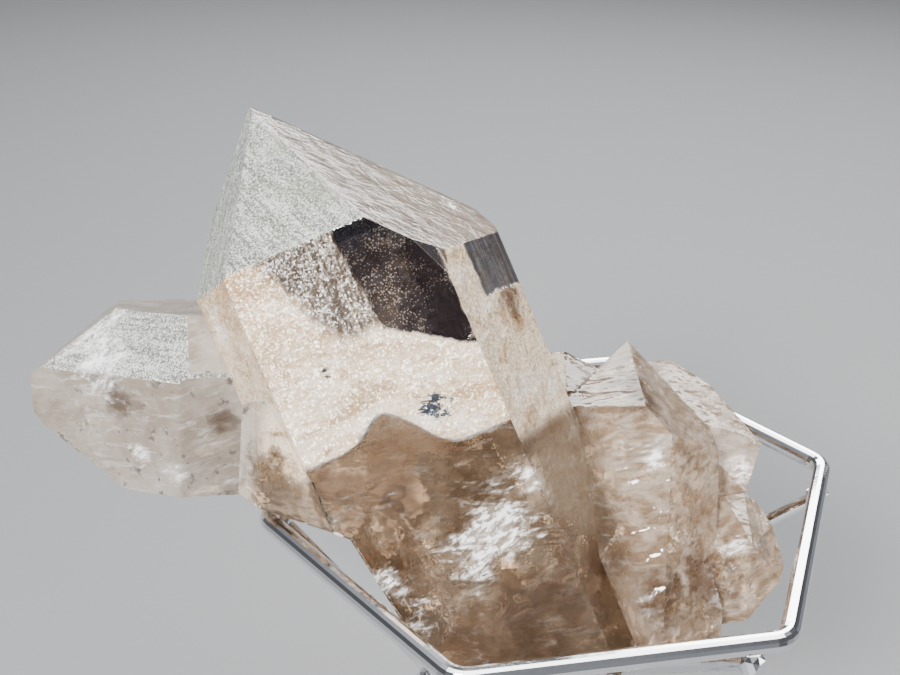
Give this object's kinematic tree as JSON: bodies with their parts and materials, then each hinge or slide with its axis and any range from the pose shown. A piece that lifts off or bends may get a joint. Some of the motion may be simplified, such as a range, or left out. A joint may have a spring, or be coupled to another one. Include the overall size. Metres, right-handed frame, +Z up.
{
  "type": "quartz cluster on stand",
  "caption": "Smoky quartz cluster with pointed, faceted crystals grown together, lying in a hexagonal wire display stand with twisted struts.",
  "frame": {"origin": "centre of the bounding box, on the table plane under the stand", "axes": "+Z up, -Y towards the viewer of the picture, +X to the viewer's right"},
  "size_m": [0.1822, 0.1195, 0.1821],
  "materials": {
    "smoky_quartz": "natural quartz, clear to smoky brown, partly frosted growth faces",
    "plated_wire": "bright plated round wire with welded joints"
  },
  "bodies": {
    "root": {"quartz_cluster": "smoky_quartz", "rim_ring": "plated_wire", "foot_ring": "plated_wire", "strut_1": "plated_wire", "strut_2": "plated_wire", "strut_3": "plated_wire", "strut_4": "plated_wire", "strut_5": "plated_wire", "strut_6": "plated_wire"}
  },
  "joints": []
}
